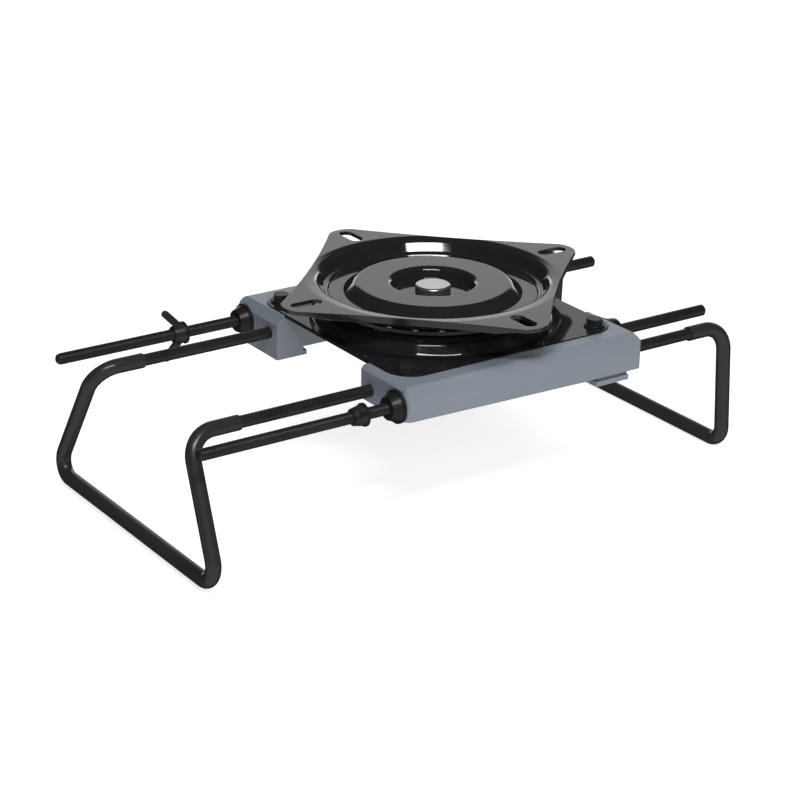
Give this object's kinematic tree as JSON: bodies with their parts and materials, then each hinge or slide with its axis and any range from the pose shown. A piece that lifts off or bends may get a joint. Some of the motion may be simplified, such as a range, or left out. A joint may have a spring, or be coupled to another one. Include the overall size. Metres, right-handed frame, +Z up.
{
  "type": "boat seat mount",
  "caption": "Clamp-on swivel mount for a bench seat: a two-plate ball-race swivel on moulded rails, held by two bent-rod hoops that slide and tighten with wing nuts.",
  "frame": {"origin": "swivel axis at the top face of the seat plate's ears, the centre of the seat's slot pattern", "axes": "+Z up along the swivel axis, X along the hoop arms, left hoop towards -X"},
  "size_m": [0.4222, 0.2328, 0.132],
  "materials": {
    "rail_plastic": "blue-grey moulded plastic, satin",
    "enamel": "gloss black baked enamel on pressed steel",
    "rod_black": "semi-gloss black coated steel rod",
    "sleeve_black": "semi-gloss black plastic sleeve",
    "bush_black": "black moulded plastic",
    "hardware_black": "black coated steel",
    "rivet_steel": "plain steel, lightly brushed",
    "ball_steel": "polished steel",
    "cage_nylon": "natural nylon"
  },
  "bodies": {
    "frame": {"side_rail_near": "rail_plastic", "side_rail_far": "rail_plastic", "base_plate": "enamel", "centre_rivet": "rivet_steel", "rivet_spacer": "rivet_steel", "rivet_washer": "rivet_steel", "bush_near_left": "bush_black", "bush_far_left": "bush_black", "bush_near_right": "bush_black", "bush_far_right": "bush_black", "plate_bolts": "hardware_black", "bolt_washers": "hardware_black", "plate_nuts": "hardware_black"},
    "seat": {"seat_plate": "enamel"},
    "race": {"ball_cage": "cage_nylon", "bearing_balls": "ball_steel"},
    "left_hoop": {"left_hoop_rod": "rod_black", "left_hoop_sleeve": "sleeve_black"},
    "right_hoop": {"right_hoop_rod": "rod_black", "right_hoop_sleeve": "sleeve_black"},
    "near_washer": {"nut_washer_near": "hardware_black"},
    "far_washer": {"nut_washer_far": "hardware_black"},
    "near_nut": {"wing_nut_near": "hardware_black"},
    "far_nut": {"wing_nut_far": "hardware_black"}
  },
  "joints": [
    {"name": "seat_swivel", "type": "hinge", "parent": "frame", "child": "seat", "pos_m": [0, 0, 0], "axis": [0, 0, 1], "continuous": true},
    {"name": "race_turn", "type": "hinge", "parent": "frame", "child": "race", "pos_m": [0, 0, -0.0146], "axis": [0, 0, 1], "continuous": true},
    {"name": "left_hoop_slide", "type": "slide", "parent": "frame", "child": "left_hoop", "axis": [1, 0, 0], "range_m": [-0.08, 0.09]},
    {"name": "right_hoop_slide", "type": "slide", "parent": "frame", "child": "right_hoop", "axis": [1, 0, 0], "range_m": [-0.045, 0.005]},
    {"name": "near_nut_advance", "type": "slide", "parent": "right_hoop", "child": "near_washer", "axis": [1, 0, 0], "range_m": [-0.04, 0.01]},
    {"name": "far_nut_advance", "type": "slide", "parent": "right_hoop", "child": "far_washer", "axis": [1, 0, 0], "range_m": [-0.03, 0.03]},
    {"name": "near_nut_spin", "type": "hinge", "parent": "near_washer", "child": "near_nut", "pos_m": [-0.121, -0.09195, -0.0412], "axis": [1, 0, 0], "range_deg": [-11521, 2881]},
    {"name": "far_nut_spin", "type": "hinge", "parent": "far_washer", "child": "far_nut", "pos_m": [-0.144, 0.09195, -0.0412], "axis": [1, 0, 0], "range_deg": [-8641, 8641]}
  ],
  "couplings": [
    {"joint": "race_turn", "follows": "seat_swivel", "ratio": 0.5},
    {"joint": "near_nut_spin", "follows": "near_nut_advance", "rad_per_m": 5026.5},
    {"joint": "far_nut_spin", "follows": "far_nut_advance", "rad_per_m": 5026.5}
  ]
}
